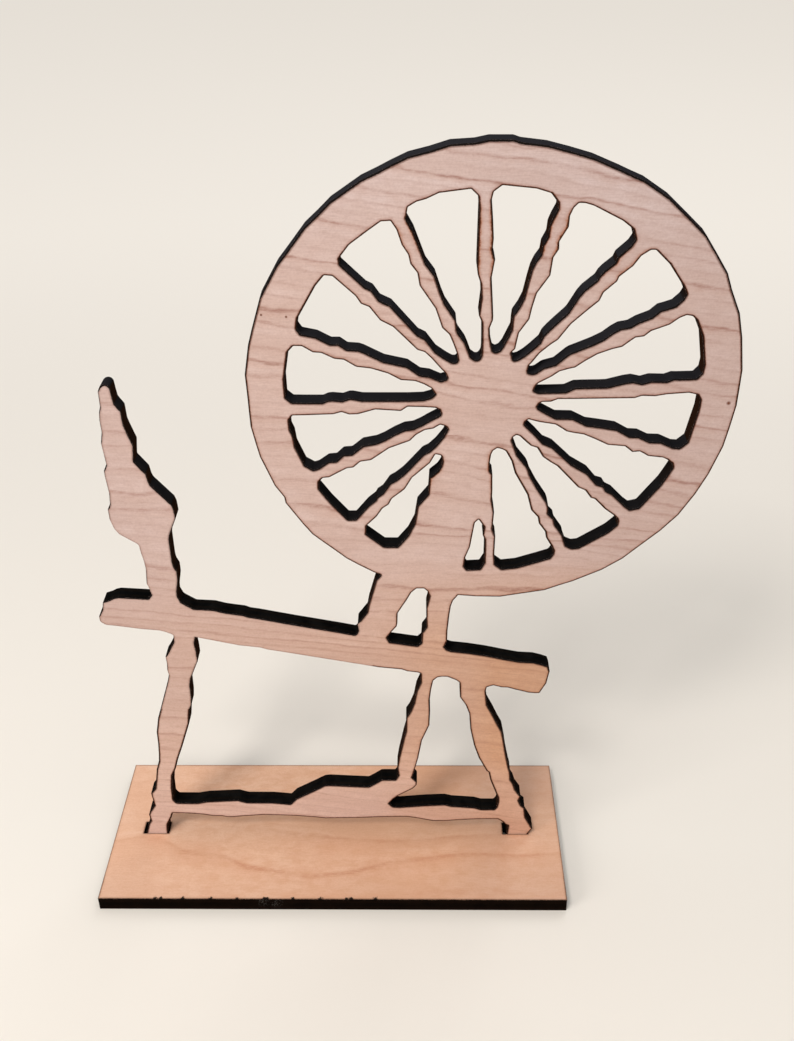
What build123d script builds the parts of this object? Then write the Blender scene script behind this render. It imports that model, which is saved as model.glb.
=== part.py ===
from build123d import *
from math import sin, cos, radians
import os

# A spinning wheel cut as a flat silhouette from thin sheet, standing in two slots of a flat base.
#
# Two pieces, both cut from the same sheet:
#   wheel_panel  wheel, distaff, bench, posts, legs and treadle in one piece, with two feet
#   base_plate   rectangular plate with a through slot for each foot
# Frame: X right, Y away from the viewer, Z up.  The origin is the centre of the base's underside.

# ---- driving sizes, mm ----
sheet_thickness = 6.35        # both pieces are cut from the same sheet
base_depth = 77.8
base_end_margin = 18.15       # from a foot's centre to the base's end
foot_span = 158.05            # between the centres of the two feet
left_foot_width = 9.65        # at the base's upper face
right_foot_width = 9.1
left_slot_gaps = (1.2, 0.4)   # beside the left foot, on its left and on its right
right_slot_gaps = (1.75, 0.3) # beside the right foot, likewise
slot_side_gap = 0.15          # between the panel's face and the slot, front and back
treadle_height = 20.5         # levels above the table: the treadle bar,
bench_height = 113.2          # the middle of the bench
distaff_height = 224.2        # and the distaff's tip
bench_overhang = 8.45         # from a foot's centre out to the bench's end
middle_foot_x = 30.3          # where the middle leg meets the treadle
wheel_x = 61.05               # centre of the wheel
wheel_z = 219.55
hub_radius = 16.05            # inner end of the windows
rim_radius = 84.35            # mean outer edge of the rim
rim_width = 13.9

# ---- the wheel, seen from the front ----
# Bearings run clockwise from straight up, in degrees.
# The rim is cut in short straight runs: (bearing, how far the edge stands outside the mean rim
# circle, in percent of the rim's width).
rim_waver = [
    (3, 7), (4.5, 2.5), (10, 2.5), (15, 0.5), (20, 1.5), (26, 1.5), (29, 3), (32, 7),
    (38.5, 9), (45, 8), (50, 12), (55, 9), (60, 10), (64, 4.5), (70, 6), (76, 2),
    (84, 0), (88, -3), (93, -3), (99, -5), (104, -3), (112, -3), (118, -2),
    (125, 0.5), (131, -2), (138, -4), (143, 0.5), (149, 1.5), (157, 0.5), (161, 0.5),
    (164.5, 4), (176, 5), (182, 2.5), (188, 2.5), (198, 0), (209.5, 0), (214, 0.5),
    (217.5, 2), (221, 0.5), (225, 2), (228.5, 5), (232, 2.5), (235, 0.5), (239.5, 0.5),
    (241, -6), (245, -2), (249, -4), (253.5, -2.5), (257, -4.5), (262, -4.5), (266, -8),
    (269, -9), (272, -8), (275.5, -4.5), (279, -6.5), (283, -6), (287, -7), (290, -6.5),
    (295, -2), (303.5, -2.5), (307.5, -4.5), (314, -0.5), (318, -1.5), (322, 2), (330, 2.5),
    (334, 0.5), (337, 2), (341, 5), (345.5, 2.5), (350, 6.5), (355, 2.5), (358, 7),
]

# Each window is a closed run of (bearing, share), where share 0 is the hub's radius and share 100
# the rim's inner radius.  Every run starts at the outer corner on the low-bearing side.
windows = [
    [(-1.0, 98.3), (1.1, 101.9), (9.6, 101.6), (13.4, 100.7), (15.9, 96.5), (16.4, 93.3),
     (15.9, 87.5), (15.7, 82.5), (16.3, 76.5), (15.7, 70.5), (16.2, 65), (15.2, 60),
     (14.7, 55), (14.8, 48.5), (15.4, 36.5), (14.5, 30.5), (12.5, 24.5), (13.0, 20.5),
     (14.2, 15.5), (13.0, 10.5), (10.8, 4), (8, 0.8), (4, -0.4), (0.5, 0.6), (-1.2, 4.5),
     (-2.5, 11), (-2.6, 15.6), (-0.3, 20.5), (-0.2, 23), (-0.6, 30), (-1.4, 47.5), (-0.1, 58.5),
     (-1.1, 65), (-0.8, 71), (-1.1, 82), (-1.5, 94)],
    [(20.3, 96.5), (21.0, 100), (22.5, 101.2), (24.7, 101.8), (33.2, 102.4), (36.6, 102),
     (39.0, 98.3), (39.3, 94), (38.9, 87.5), (38.7, 84.5), (39.3, 81), (38.6, 73.5),
     (38.5, 70), (38.9, 66.5), (37.8, 57), (37.8, 52.5), (39.2, 41.5), (39.2, 39), (38.4, 31),
     (37.8, 25), (37.6, 20.5), (39.1, 16), (37.8, 8.1), (36.3, 3.5), (33.5, -0.4), (30, -2.3),
     (27, -1.6), (24.5, 0.2), (22.0, 1.6), (24.1, 4.5), (22.2, 9.5), (20.7, 15), (23.2, 25.3),
     (21.6, 33), (20.7, 42), (22.7, 55), (20.8, 65.5), (21.4, 71.3), (20.4, 75.5), (21.2, 85.3),
     (20.2, 91.5)],
    [(44.1, 100), (45, 102), (50.3, 102.8), (57.7, 102.5), (60, 102), (60.9, 99.1), (61.7, 93.3),
     (61.3, 88), (60.9, 84.5), (61.7, 78.5), (61.2, 70), (61.4, 64.5), (60.2, 58.8),
     (60.3, 53.8), (61.1, 47.5), (61, 40), (60.3, 32.5), (59.5, 26), (59.7, 23.5), (62.2, 14.4),
     (61, 10.5), (59.8, 7), (61, 1.6), (60, -0.5), (56.3, -2.2), (53, -1.7), (48.7, 0.8),
     (48.3, 3.1), (45.8, 11), (46.0, 14.4), (46.3, 20), (47, 24.6), (45.7, 31.3), (44.8, 37),
     (45.1, 50), (45.4, 58.5), (44, 63.8), (44.3, 73.8), (43.6, 76.6), (44.1, 86.6), (43.5, 93.8)],
    [(65.6, 97.5), (66.5, 100.5), (68, 102), (73, 103), (81.3, 102.1), (83.7, 100.9),
     (85.2, 97.5), (85.1, 94), (84.9, 87), (84.7, 84), (85.4, 79.5), (84.8, 70), (85.5, 64.5),
     (84.3, 58.8), (84.5, 54), (85.9, 43.3), (85.8, 39), (85.2, 29), (84.9, 22.8), (87.7, 17),
     (87.5, 9), (87, 0.2), (83.7, -2.5), (80.3, -2.2), (77, -1), (74.7, 1), (71.5, 9.8),
     (69.2, 15.3), (69.7, 21.3), (70.2, 25), (68.3, 31.9), (67, 40.5), (67.3, 50), (67.9, 55.6),
     (66.2, 64.8), (67, 70), (66.1, 75), (66.4, 86.3), (65.6, 93.1)],
    [(90.2, 99.2), (91.8, 101.4), (95.3, 101.5), (105, 101.5), (107.4, 98.3), (107.8, 94.5),
     (107.2, 85.6), (108.2, 78.5), (107.5, 70.6), (108.4, 64.8), (107, 55), (107.3, 51.5),
     (108.1, 43.8), (109.3, 35.5), (107.7, 25.5), (111.5, 15.3), (109.3, 6), (107.6, 2.4),
     (105, 0.9), (101.3, 1.5), (98.8, 3.3), (97.5, 8.5), (94.2, 12.7), (93.3, 23.8),
     (92.2, 45), (91.7, 60.5), (90.7, 64.6), (90.8, 73), (90.1, 80), (89.6, 93.8)],
    [(112.1, 94.4), (112.7, 98.8), (113.8, 100.8), (117, 100.8), (120, 101), (124.7, 100.4),
     (129.7, 100.8), (131.8, 97.5), (131.9, 93), (131.4, 80), (132, 75.3), (131.3, 71.3),
     (132.4, 67.1), (131.4, 57), (133, 44), (132.8, 38.8), (132.4, 26), (134.8, 19.5),
     (134, 12), (133.2, 0.8), (130.3, -0.4), (125.3, 0.3), (121.7, 6.9), (119, 11.9),
     (116.8, 16.9), (117.5, 22.5), (118, 25.6), (117, 30), (115.2, 36.8), (115.1, 45),
     (115.3, 54.4), (113, 65), (114.1, 71.3), (112.8, 75.6), (113.3, 82), (112, 91.5)],
    [(136.6, 96.5), (137.1, 98.8), (138, 100.5), (141.7, 101.3), (151.3, 101.3), (153.1, 99.8),
     (154.4, 96), (154.2, 91.5), (153.8, 87), (154.5, 77), (154, 72.5), (155, 67), (153.7, 62),
     (153.4, 58.5), (154.4, 45), (154.7, 34.5), (154.1, 30), (154.2, 27), (156.7, 17.2),
     (156, 10), (155.6, 5.5), (153.3, 4), (149, 3.7), (146.7, 5.2), (145, 11), (143.7, 15.6),
     (140.8, 19.2), (142, 26.9), (140.5, 33.1), (139.1, 38.3), (138.9, 50), (138.8, 60),
     (137.5, 65), (138, 72.2), (137.2, 74.5), (137.2, 85), (136.6, 93)],
    [(158.6, 96.5), (159.1, 98.8), (160.5, 101.2), (164, 101.5), (170.7, 103.2), (175, 103.2),
     (177, 98.8), (177.1, 90), (176.6, 76), (177.6, 70), (177.4, 66.5), (176.8, 57), (177.7, 47),
     (177.4, 40), (177.2, 27.5), (178.9, 25), (179, 18.4), (178, 13.1), (176.3, 10.4),
     (172, 8.7), (168, 10), (165, 11.9), (162.8, 20), (163, 29.5), (160.3, 48), (161, 60.2),
     (159.4, 67.2), (159.9, 72), (158.8, 80), (159.3, 84.6), (158.7, 92.5)],
    [(180.3, 97.3), (181.5, 102.8), (185.2, 103.8), (186.3, 101), (186.3, 93.5), (185.3, 85),
     (184.7, 65.6), (183.3, 62.8), (180.9, 68.5), (181.3, 75), (180.4, 79), (180.3, 88.8)],
    [(207.7, 99), (211.1, 103.3), (218, 101.6), (219.7, 96.5), (219.3, 86.5), (219.8, 78.8),
     (219.1, 74), (219.8, 69), (218.5, 58.1), (219.7, 48), (217.9, 32.3), (219.2, 25),
     (216.3, 23.7), (214.7, 23.8), (212.3, 26.3), (211, 30.3), (211, 34.4), (212.7, 41.3),
     (208.5, 52.3), (209.6, 64), (206.9, 77), (206.7, 87.5)],
    [(223.6, 97.3), (225.2, 100.9), (232.7, 100.4), (238.6, 100.4), (240.5, 97.6), (241.1, 94),
     (240.3, 90), (240.3, 76.3), (239.4, 72.5), (240.2, 66.3), (238.6, 59.6), (239.6, 45),
     (237.5, 30.8), (239.1, 25), (239.2, 18.5), (236.7, 13.5), (236.6, 8.2), (233, 6.5),
     (230.3, 5.8), (228.3, 6.3), (225.1, 12.2), (223.7, 20), (223.8, 26.3), (225.1, 30.6),
     (224.3, 42.5), (224, 50), (224.4, 57), (225.1, 61.3), (224, 70), (224.4, 74.5), (223.9, 77),
     (224.2, 84)],
    [(244.8, 96.3), (247.2, 99.8), (253.7, 100.3), (257.3, 99.2), (259.3, 100), (262.3, 99.2),
     (263.7, 96.5), (263.3, 87.5), (262.5, 70.5), (263, 65.2), (261.5, 60.6), (261.1, 55),
     (262.3, 43.8), (259, 28), (261.3, 23.3), (260, 17.5), (258.8, 13), (255.7, 6.3), (252, 3.8),
     (248.7, 4), (246.2, 5.2), (245, 13.5), (244.2, 19), (244.1, 24.5), (245.8, 30),
     (245.6, 37), (244.8, 45), (244.8, 50.5), (246.2, 59.4), (244.6, 68.5), (245.7, 73.8),
     (244.5, 80), (245.4, 85), (244.6, 93)],
    [(267.9, 95.5), (269.5, 99.2), (275, 99.8), (283.3, 99.5), (285.5, 97), (286.1, 92),
     (285, 84.4), (285.5, 79.4), (284.5, 70.8), (285, 65), (283.2, 56.5), (283.9, 47.5),
     (283.2, 36.3), (280.6, 27.8), (281.7, 18.8), (280.3, 13.1), (277.3, 8), (271.7, 5.4),
     (267.5, 8), (265.8, 13), (266.2, 22), (267.4, 43.8), (267.7, 51.3), (268.7, 57.5),
     (268.7, 59.6), (267.8, 63.8), (268.3, 70), (268.2, 73), (267.4, 76.5), (267.7, 88.8)],
    [(289.6, 94.6), (290.8, 98), (293.7, 99.5), (304.3, 99.1), (308, 98.6), (309.2, 94.5),
     (308.5, 76.3), (307.4, 70.8), (308.2, 65.6), (306.3, 55.3), (307.2, 46.5), (303.8, 25.8),
     (305.3, 21.3), (304, 15.5), (299.7, 6.3), (297.5, 2.4), (294, 0.6), (291, 0.9),
     (287.4, 3.3), (288.8, 11), (287.5, 16.9), (290.8, 26.2), (289.2, 41), (290.6, 55),
     (290.6, 58.2), (289.4, 65), (290.4, 70.7), (289.4, 75.6), (290.2, 85)],
    [(313.2, 95.7), (314.2, 98.4), (318.7, 100), (324.7, 99.6), (329, 100), (331.2, 97.5),
     (331.4, 91.3), (330.5, 82), (330.7, 75), (329.7, 69.5), (330.2, 62.7), (328.3, 55.3),
     (328.7, 37.8), (325.6, 25.2), (327, 19), (325.3, 12.5), (322.3, 5.8), (318.7, 2.5),
     (315.3, 2), (312.6, 3.5), (311.3, 7.5), (310.3, 15.8), (313, 26.3), (311.7, 31.5),
     (314, 56.3), (312.6, 63.4), (313.6, 71), (312.9, 75.3)],
    [(335.2, 95), (336.8, 100.3), (339.3, 101.2), (341.8, 100.8), (345.3, 102), (353.3, 100.8),
     (355, 96.3), (355, 90), (352.6, 54.4), (352.6, 50), (353.5, 43.8), (353.2, 36.3),
     (350.4, 24.4), (351.9, 19.5), (350, 8.5), (347.8, 1.3), (346, -1.7), (343, -3.3),
     (339.8, -3.9), (336.5, -3.3), (333.3, -0.3), (334.6, 6), (334.8, 10.3), (333.4, 17.5),
     (333.5, 19.4), (335.9, 25.6), (334.3, 38), (334.7, 45), (335.7, 56.5), (334.6, 66),
     (335.5, 86.3)],
]

# ---- the rest of the panel ----
# These outlines are drawn as (x, z), seen from the front, z up from the table, an eighth larger than the
# part.  They are drawn for the stations and levels below, and placed() carries each point to where the
# sizes put it.
drawn_stations = (-98.15, -88.65, 34.0, 88.65, 98.15)
drawn_levels = (0.0, 7.12, 23.0, 127.0, 251.5)

distaff = [
    (-73.3, 140), (-73.3, 152.7), (-73.9, 155.8), (-74.7, 158.3), (-74.1, 166), (-74.4, 170),
    (-75.1, 174), (-75.5, 177.8), (-76.2, 178.6), (-82.9, 183.3), (-84.6, 186), (-85.8, 190.5),
    (-85.9, 195.3), (-84.6, 198), (-84.2, 203), (-84.8, 211), (-84.8, 213.5), (-83.4, 216.5),
    (-84.1, 226), (-83.1, 231), (-83.2, 236), (-82.9, 239.3), (-82.1, 242), (-82.0, 248.5),
    (-81.2, 250.3), (-80.2, 251.2), (-79.0, 251.5), (-77.9, 251.1), (-77.2, 250.1),
    (-76.8, 246), (-76.5, 243.5), (-74.3, 240.0), (-74.1, 234), (-73.5, 231.5), (-71.5, 224.9),
    (-72.3, 217.9), (-68.2, 212.2), (-67.7, 208.7), (-67.1, 207), (-59.6, 197.8),
    (-58.9, 195.5), (-58.6, 191.0), (-62.1, 182.7), (-62.5, 180.5), (-62.5, 169.5),
    (-62.2, 167.2), (-61.1, 164.6), (-61.1, 160.3), (-62.3, 154), (-62.4, 151.6),
    (-61.2, 148.6), (-59.8, 147.5), (-56.0, 144.9), (-56.0, 140),
]
bench = [
    (-95.2, 136.3), (-96.8, 137.4), (-97.6, 138.4), (-97.6, 141), (-95.5, 145),
    (-94.8, 148.6), (-92.0, 149.6), (-90.0, 150.7), (-88.0, 151.2), (-75.0, 150.3),
    (-73.3, 152.7), (-68.0, 146.0), (-60.0, 143.0), (-56.0, 144.9), (-47.8, 144.4), (-43.3, 143.0),
    (-38.9, 142.2), (-35.0, 141.6), (-32.8, 140.6), (-28.9, 139.9), (-13.9, 136.5),
    (-4.4, 134.5), (5.6, 132.4), (13.0, 130.7), (14.0, 131.9), (28.1, 126.8), (40.1, 124.7),
    (51.9, 124.2), (53.2, 122.6), (55.0, 121.8), (62.5, 120.8), (70.0, 119.4), (77.5, 117.5),
    (85.0, 115.8), (91.3, 115.4), (95.0, 114.3), (97.9, 113.1), (98.8, 110.3), (98.4, 108.0),
    (97.7, 103.3), (94.9, 97.6), (93.1, 97.5), (90.0, 97.8), (83.8, 99.7), (80.6, 100.8),
    (77.5, 101.0), (74.1, 102.1), (71.1, 101.0), (66.0, 107.0), (58.9, 109.0), (41.5, 109.0),
    (40.0, 109.6), (35.6, 110.2), (33.1, 111.3), (23.1, 112.5), (15.0, 114.2), (-21.7, 121.8),
    (-25.6, 122.5), (-28.9, 123.7), (-37.8, 124.9), (-45.0, 126.6), (-57.0, 129.6),
    (-66.5, 130.5), (-67.3, 131.2), (-69.8, 132.4), (-72.3, 133.2), (-80.0, 134.0),
    (-90.0, 135.6),
]
wheel_posts = [
    (14.0, 131.9), (14.6, 133.4), (14.3, 137.0), (18.5, 143.1), (19.3, 147.5), (22.7, 160.0),
    (34, 175), (52, 178), (62, 160), (57.0, 151.3), (55.4, 149.2), (54.5, 146.3),
    (53.9, 141.3), (53.2, 133), (53.1, 127.5), (51.9, 124.2), (40, 117), (14, 120),
]
gap_between_posts = [
    (28.1, 126.8), (26.9, 129.4), (28.9, 132.4), (31.1, 135.2), (31.5, 137.0), (31.7, 142.5),
    (35.6, 149.4), (37.6, 153.4), (39.8, 155.5), (43.0, 155.5), (44.4, 154.1), (45.3, 151.8),
    (43.9, 145.5), (44.0, 135.1), (42.1, 132.0), (41.8, 126.5), (40.1, 124.7),
]
left_leg_outside = [
    (-66.5, 136), (-66.5, 130.6), (-66.7, 127.3), (-69.7, 121.4), (-71.4, 118.7),
    (-71.2, 114.8), (-71.5, 110.9), (-71.1, 108.3), (-72.0, 104.8), (-77.3, 88.1),
    (-79.1, 82.6), (-80.8, 74), (-81.0, 66.8), (-81.5, 60.1), (-82.0, 55.7), (-83.7, 50.2),
    (-84.9, 43.2), (-85.9, 38.0), (-88.3, 34.7), (-88.3, 33.0), (-88.0, 30.4), (-87.7, 26.5),
    (-90.6, 21.8), (-91.2, 20.0), (-90.8, 16.0), (-92.1, 13.8),
]
left_leg_inside = [
    (-83.0, 11.2), (-82.7, 13.4), (-80.6, 17.6), (-79.3, 21.2), (-76, 24), (-76.4, 28.1),
    (-77.2, 28.9), (-78.0, 30.3), (-77.8, 37.9), (-76.7, 46.2), (-74.5, 50.9), (-72.8, 56.8),
    (-69.8, 65.1), (-65.2, 79.0), (-64.0, 88.0), (-62.9, 90.2), (-62.4, 95.0), (-62.3, 102),
    (-61.7, 105.5), (-57.3, 116.2), (-57.4, 121.4), (-57.8, 126.4), (-57.0, 129.2), (-57.0, 136),
]
middle_leg = [
    (41.5, 115), (41.5, 103.9), (39.6, 98.8), (38.4, 91.6), (36.5, 86.0), (34.8, 82.9),
    (34.7, 75.1), (33.7, 70.8), (31.2, 57.7), (30.4, 52.1), (30.9, 46.8), (29.6, 44.2),
    (29, 38), (36, 38), (39.2, 43.3), (37.4, 45.4), (38.7, 50.6), (40.3, 57.6), (42.1, 69),
    (43.1, 71.7), (45.5, 78.3), (45.8, 87.0), (45.6, 93.3), (46.2, 99.5), (47.1, 104.8),
    (49.0, 106.7), (51, 107.1), (53.6, 107.0), (57.5, 105.0), (58.9, 103.7), (60, 115),
]
treadle = [
    (-79.3, 21.2), (-70.0, 20.8), (-64.4, 20.1), (-60.0, 19.2), (-55.6, 19.1), (-53.0, 18.4),
    (-50.0, 18.4), (-45.0, 19.1), (-35.0, 19.9), (-30.0, 19.8), (-20.0, 19.4), (-10.0, 18.4),
    (-5.0, 17.7), (10.0, 18.0), (20.0, 18.5), (30.0, 18.8), (35.0, 18.8), (38.8, 18.1),
    (47.5, 16.0), (53.8, 16.0), (60.0, 16.7), (68.8, 17.3), (78.9, 17.4), (84, 20), (80, 25.8),
    (78.0, 25.8), (76.9, 24.2), (70.6, 24.2), (67.5, 25.4), (56.3, 26.4), (53.1, 27.4),
    (43.8, 26.9), (31.3, 25.6), (28.2, 25.9), (26.2, 28.1), (28.1, 30.8), (30.4, 33.0),
    (37.7, 37.9), (39.5, 40.2), (39.7, 42.3), (39.2, 43.3), (33, 46), (29.6, 44.2), (29.2, 43.8),
    (22.9, 43.8), (19.2, 41.0), (16.5, 39.1), (-1.9, 40.2), (-4.5, 39.9), (-9.0, 37.0),
    (-18.7, 31.0), (-21.6, 27.5), (-25.0, 27.9), (-30.0, 28.5), (-42.5, 28.5), (-46.9, 30.1),
    (-61.9, 29.1), (-66.9, 28.0), (-76.4, 28.1), (-80, 28),
]
right_leg_outside = [
    (96.1, 11.0), (94.0, 15.5), (92.3, 19.0), (91.6, 25.2), (89.8, 27.0), (88.5, 30.3),
    (89.3, 33.0), (86.6, 37.5), (85.5, 41.4), (84.1, 43.9), (83.7, 48.9), (83.0, 51.6),
    (81.3, 60.3), (80.0, 68.9), (78.9, 74.6), (76.9, 78.8), (74.4, 84.8), (71.6, 90.8),
    (71.2, 94.6), (70.8, 99.0), (71.1, 101.0), (71.1, 110.0),
]
right_leg_inside = [
    (58.9, 110.0), (58.9, 103.7), (59.2, 95.2), (61.9, 90.5), (63.6, 85.3), (64.3, 76.0),
    (66.2, 66.0), (68.6, 58.1), (72.5, 49.5), (73.5, 48.7), (74.4, 43.9), (77.3, 35.2),
    (78.4, 32.0), (78.6, 29.4), (78.0, 25.8), (76.9, 24.2), (76.0, 20.0), (78.9, 17.4),
    (81.2, 15.6), (82.4, 14.0), (84.0, 13.0),
]


# where the driving sizes put the drawn stations and levels
stations = (-foot_span / 2 - bench_overhang, -foot_span / 2, middle_foot_x,
            foot_span / 2, foot_span / 2 + bench_overhang)
levels = (0.0, sheet_thickness, treadle_height, bench_height, distaff_height)


def carried(value, drawn_marks, marks):
    """Where a drawn coordinate lands once the marks on its two sides have moved."""
    last = len(marks) - 2
    step = min(sum(value > mark for mark in drawn_marks[1:-1]), last)
    share = (value - drawn_marks[step]) / (drawn_marks[step + 1] - drawn_marks[step])
    return marks[step] + share * (marks[step + 1] - marks[step])


def placed(points):
    """A drawn outline, fitted to the driving sizes."""
    return [(carried(x, drawn_stations, stations), carried(z, drawn_levels, levels)) for x, z in points]


def at_bearing(bearing, radius):
    """A point on the wheel, clockwise from straight up."""
    angle = radians(bearing)
    return (wheel_x + radius * sin(angle), wheel_z + radius * cos(angle))


def rim_outline():
    """The rim's outer edge."""
    return [at_bearing(bearing, rim_radius + waver * rim_width / 100) for bearing, waver in rim_waver]


def window_outline(points):
    """One window of the wheel."""
    reach = (rim_radius - rim_width - hub_radius) / 100
    return [at_bearing(bearing, hub_radius + share * reach) for bearing, share in points]


def foot_outline(centre_x, width):
    """The straight end of a leg: down the left side, across, and up the right side."""
    left = centre_x - width / 2
    right = centre_x + width / 2
    return [(left, sheet_thickness), (left, 0), (right, 0), (right, sheet_thickness)]


def flat(points):
    """A filled outline on the panel's middle plane."""
    return Plane.XZ * make_face(Polyline(*points, close=True))


# ---- wheel_panel: all limbs joined flat, then one sheet thick ----
left_foot_x = -foot_span / 2
right_foot_x = foot_span / 2
left_foot = foot_outline(left_foot_x, left_foot_width)
right_foot = foot_outline(right_foot_x, right_foot_width)

disc = flat(rim_outline())
for points in windows:
    disc -= flat(window_outline(points))

face = disc + flat(placed(wheel_posts)) + flat(placed(bench)) - flat(placed(gap_between_posts))
face = face + flat(placed(distaff))
face = face + flat(placed(left_leg_outside) + left_foot + placed(left_leg_inside))
face = face + flat(placed(middle_leg)) + flat(placed(treadle))
face = face + flat(placed(right_leg_inside) + right_foot + placed(right_leg_outside))
wheel_panel = extrude(face, amount=sheet_thickness / 2, both=True)

# ---- base_plate: a slot round each foot ----
base_length = foot_span + 2 * base_end_margin
slot_width = sheet_thickness + 2 * slot_side_gap
base_plate = Pos(0, 0, sheet_thickness / 2) * Box(base_length, base_depth, sheet_thickness)
for foot_x, foot_width, gaps in (
    (left_foot_x, left_foot_width, left_slot_gaps),
    (right_foot_x, right_foot_width, right_slot_gaps),
):
    slot_length = foot_width + gaps[0] + gaps[1]
    slot_x = foot_x + (gaps[1] - gaps[0]) / 2
    base_plate -= Pos(slot_x, 0, sheet_thickness / 2) * Box(slot_length, slot_width, 2 * sheet_thickness)

os.makedirs("parts", exist_ok=True)
for name, shape in (("wheel_panel", wheel_panel), ("base_plate", base_plate)):
    shape.label = name
    export_step(shape, f"parts/{name}.step")
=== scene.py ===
import math
import bpy
import numpy as np
from mathutils import Matrix, Vector
from mathutils.bvhtree import BVHTree
from mathutils.geometry import delaunay_2d_cdt


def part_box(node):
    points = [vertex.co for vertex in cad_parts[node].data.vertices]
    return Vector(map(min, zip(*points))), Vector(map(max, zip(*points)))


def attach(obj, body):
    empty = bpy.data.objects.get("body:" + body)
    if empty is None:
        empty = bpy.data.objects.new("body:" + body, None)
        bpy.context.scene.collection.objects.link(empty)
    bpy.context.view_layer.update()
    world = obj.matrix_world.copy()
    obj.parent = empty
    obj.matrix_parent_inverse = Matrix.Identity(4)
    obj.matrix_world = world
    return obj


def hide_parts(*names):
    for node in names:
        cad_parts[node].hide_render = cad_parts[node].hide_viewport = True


# A flat wooden spinning wheel silhouette in a slotted base, both cut by laser from thin plywood.
# Each piece is rebuilt from its own outline, with softened corners, a fine edge break, and a mesh
# that knows how far every point of a face lies from the cut, so that the scorch can follow it.

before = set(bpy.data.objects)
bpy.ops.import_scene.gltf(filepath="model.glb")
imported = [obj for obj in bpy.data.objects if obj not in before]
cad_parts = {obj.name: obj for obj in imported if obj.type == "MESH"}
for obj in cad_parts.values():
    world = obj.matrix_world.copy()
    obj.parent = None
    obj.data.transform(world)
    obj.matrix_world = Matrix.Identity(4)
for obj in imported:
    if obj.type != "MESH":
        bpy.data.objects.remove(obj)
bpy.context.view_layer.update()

# Every length below is in units of a 342nd of the whole height, a little under a millimetre.
UNITS_HIGH = 342
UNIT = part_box("wheel_panel")[1][2] / UNITS_HIGH
EDGE_BREAK = 0.07 * UNIT


def placed(name, data):
    """A new object in the scene."""
    made = bpy.data.objects.new(name, data)
    bpy.context.scene.collection.objects.link(made)
    return made


# ---- camera, where the photograph was taken from ----
# The photograph's longer side and the focal length, in pixels, and the place of the lens, in units.
PHOTO_HEIGHT = 1041
FOCAL_LENGTH = 1165.19
SENSOR = 36.0
LENS_PLACE = Vector((40.76, -405.14, 444.62))
camera_data = bpy.data.cameras.new("camera")
camera = placed("camera", camera_data)
bpy.context.scene.camera = camera
camera_data.sensor_fit = "AUTO"
camera_data.sensor_width = SENSOR
camera_data.lens = FOCAL_LENGTH / PHOTO_HEIGHT * SENSOR
camera_data.clip_start = 0.01
camera_data.clip_end = 30
pitch, yaw, roll = 0.565498, -0.0219293, -0.0143433
ahead = Vector((math.sin(yaw) * math.cos(pitch), math.cos(yaw) * math.cos(pitch), -math.sin(pitch)))
level_right = Vector((math.cos(yaw), -math.sin(yaw), 0))
level_up = level_right.cross(ahead)
right = math.cos(roll) * level_right + math.sin(roll) * level_up
up = -math.sin(roll) * level_right + math.cos(roll) * level_up
turned = Matrix((right, up, -ahead)).transposed().to_4x4()
camera.matrix_world = Matrix.Translation(LENS_PLACE * UNIT) @ turned


# ---- outlines ----
# How flat a sheet's face is, in metres, and the steps to which its corners are rounded.
FLATNESS = 2e-6
STEPS_PER_METRE = 1e7
# The sine of a turn that still counts as straight, and the angle of one too slight to soften.
STRAIGHT = 1e-4
SLIGHT_TURN = 0.1
# The share of a run that a softened corner may take.
CORNER_SHARE = 0.32
# Points closer than this, in metres, are one point.
SAME_POINT = 1e-9


def cut_loops(node, axis, side, flat_axes):
    """The closed outlines of a sheet's face, material on their left, read from the node's own mesh."""
    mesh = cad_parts[node].data
    points = np.array([v.co[:] for v in mesh.vertices])
    level = points[:, axis].min() if side < 0 else points[:, axis].max()
    mesh.calc_loop_triangles()
    edges = set()
    for triangle in mesh.loop_triangles:
        corners = [points[i] for i in triangle.vertices]
        if all(abs(c[axis] - level) < FLATNESS for c in corners):
            keys = [tuple(int(round(c[a] * STEPS_PER_METRE)) for a in flat_axes) for c in corners]
            for a, b in zip(keys, keys[1:] + keys[:1]):
                if (b, a) in edges:
                    edges.remove((b, a))
                else:
                    edges.add((a, b))
    following = dict(edges)
    loops = []
    while following:
        start = min(following)
        loop = [start]
        point = following.pop(start)
        while point != start:
            loop.append(point)
            point = following.pop(point)
        loops.append(np.array(loop) / STEPS_PER_METRE)
    return sorted(loops, key=len, reverse=True)


def with_neighbours(loop):
    """Each point of the outline between the one before it and the one after it."""
    return zip(np.roll(loop, 1, 0), loop, np.roll(loop, -1, 0))


def without_straights(loop):
    """The outline without points that lie on a straight run."""
    kept = []
    for before, point, after in with_neighbours(loop):
        a, b = point - before, after - point
        if abs(a[0] * b[1] - a[1] * b[0]) > STRAIGHT * np.hypot(*a) * np.hypot(*b):
            kept.append(point)
    return np.array(kept)


def softened(loop, reach, steps=3):
    """Corners rounded over a short reach, as a cutting beam leaves them."""
    soft = []
    for before, point, after in with_neighbours(loop):
        a, b = before - point, after - point
        length_a, length_b = np.hypot(*a), np.hypot(*b)
        turn = math.pi - math.acos(max(-1, min(1, float(a @ b) / (length_a * length_b))))
        if turn < SLIGHT_TURN:
            soft.append(point)
            continue
        cut = min(reach, CORNER_SHARE * length_a, CORNER_SHARE * length_b)
        start, end = point + a / length_a * cut, point + b / length_b * cut
        for step in range(steps + 1):
            t = step / steps
            soft.append((1 - t) ** 2 * start + 2 * t * (1 - t) * point + t ** 2 * end)
    return np.array(soft)


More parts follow.
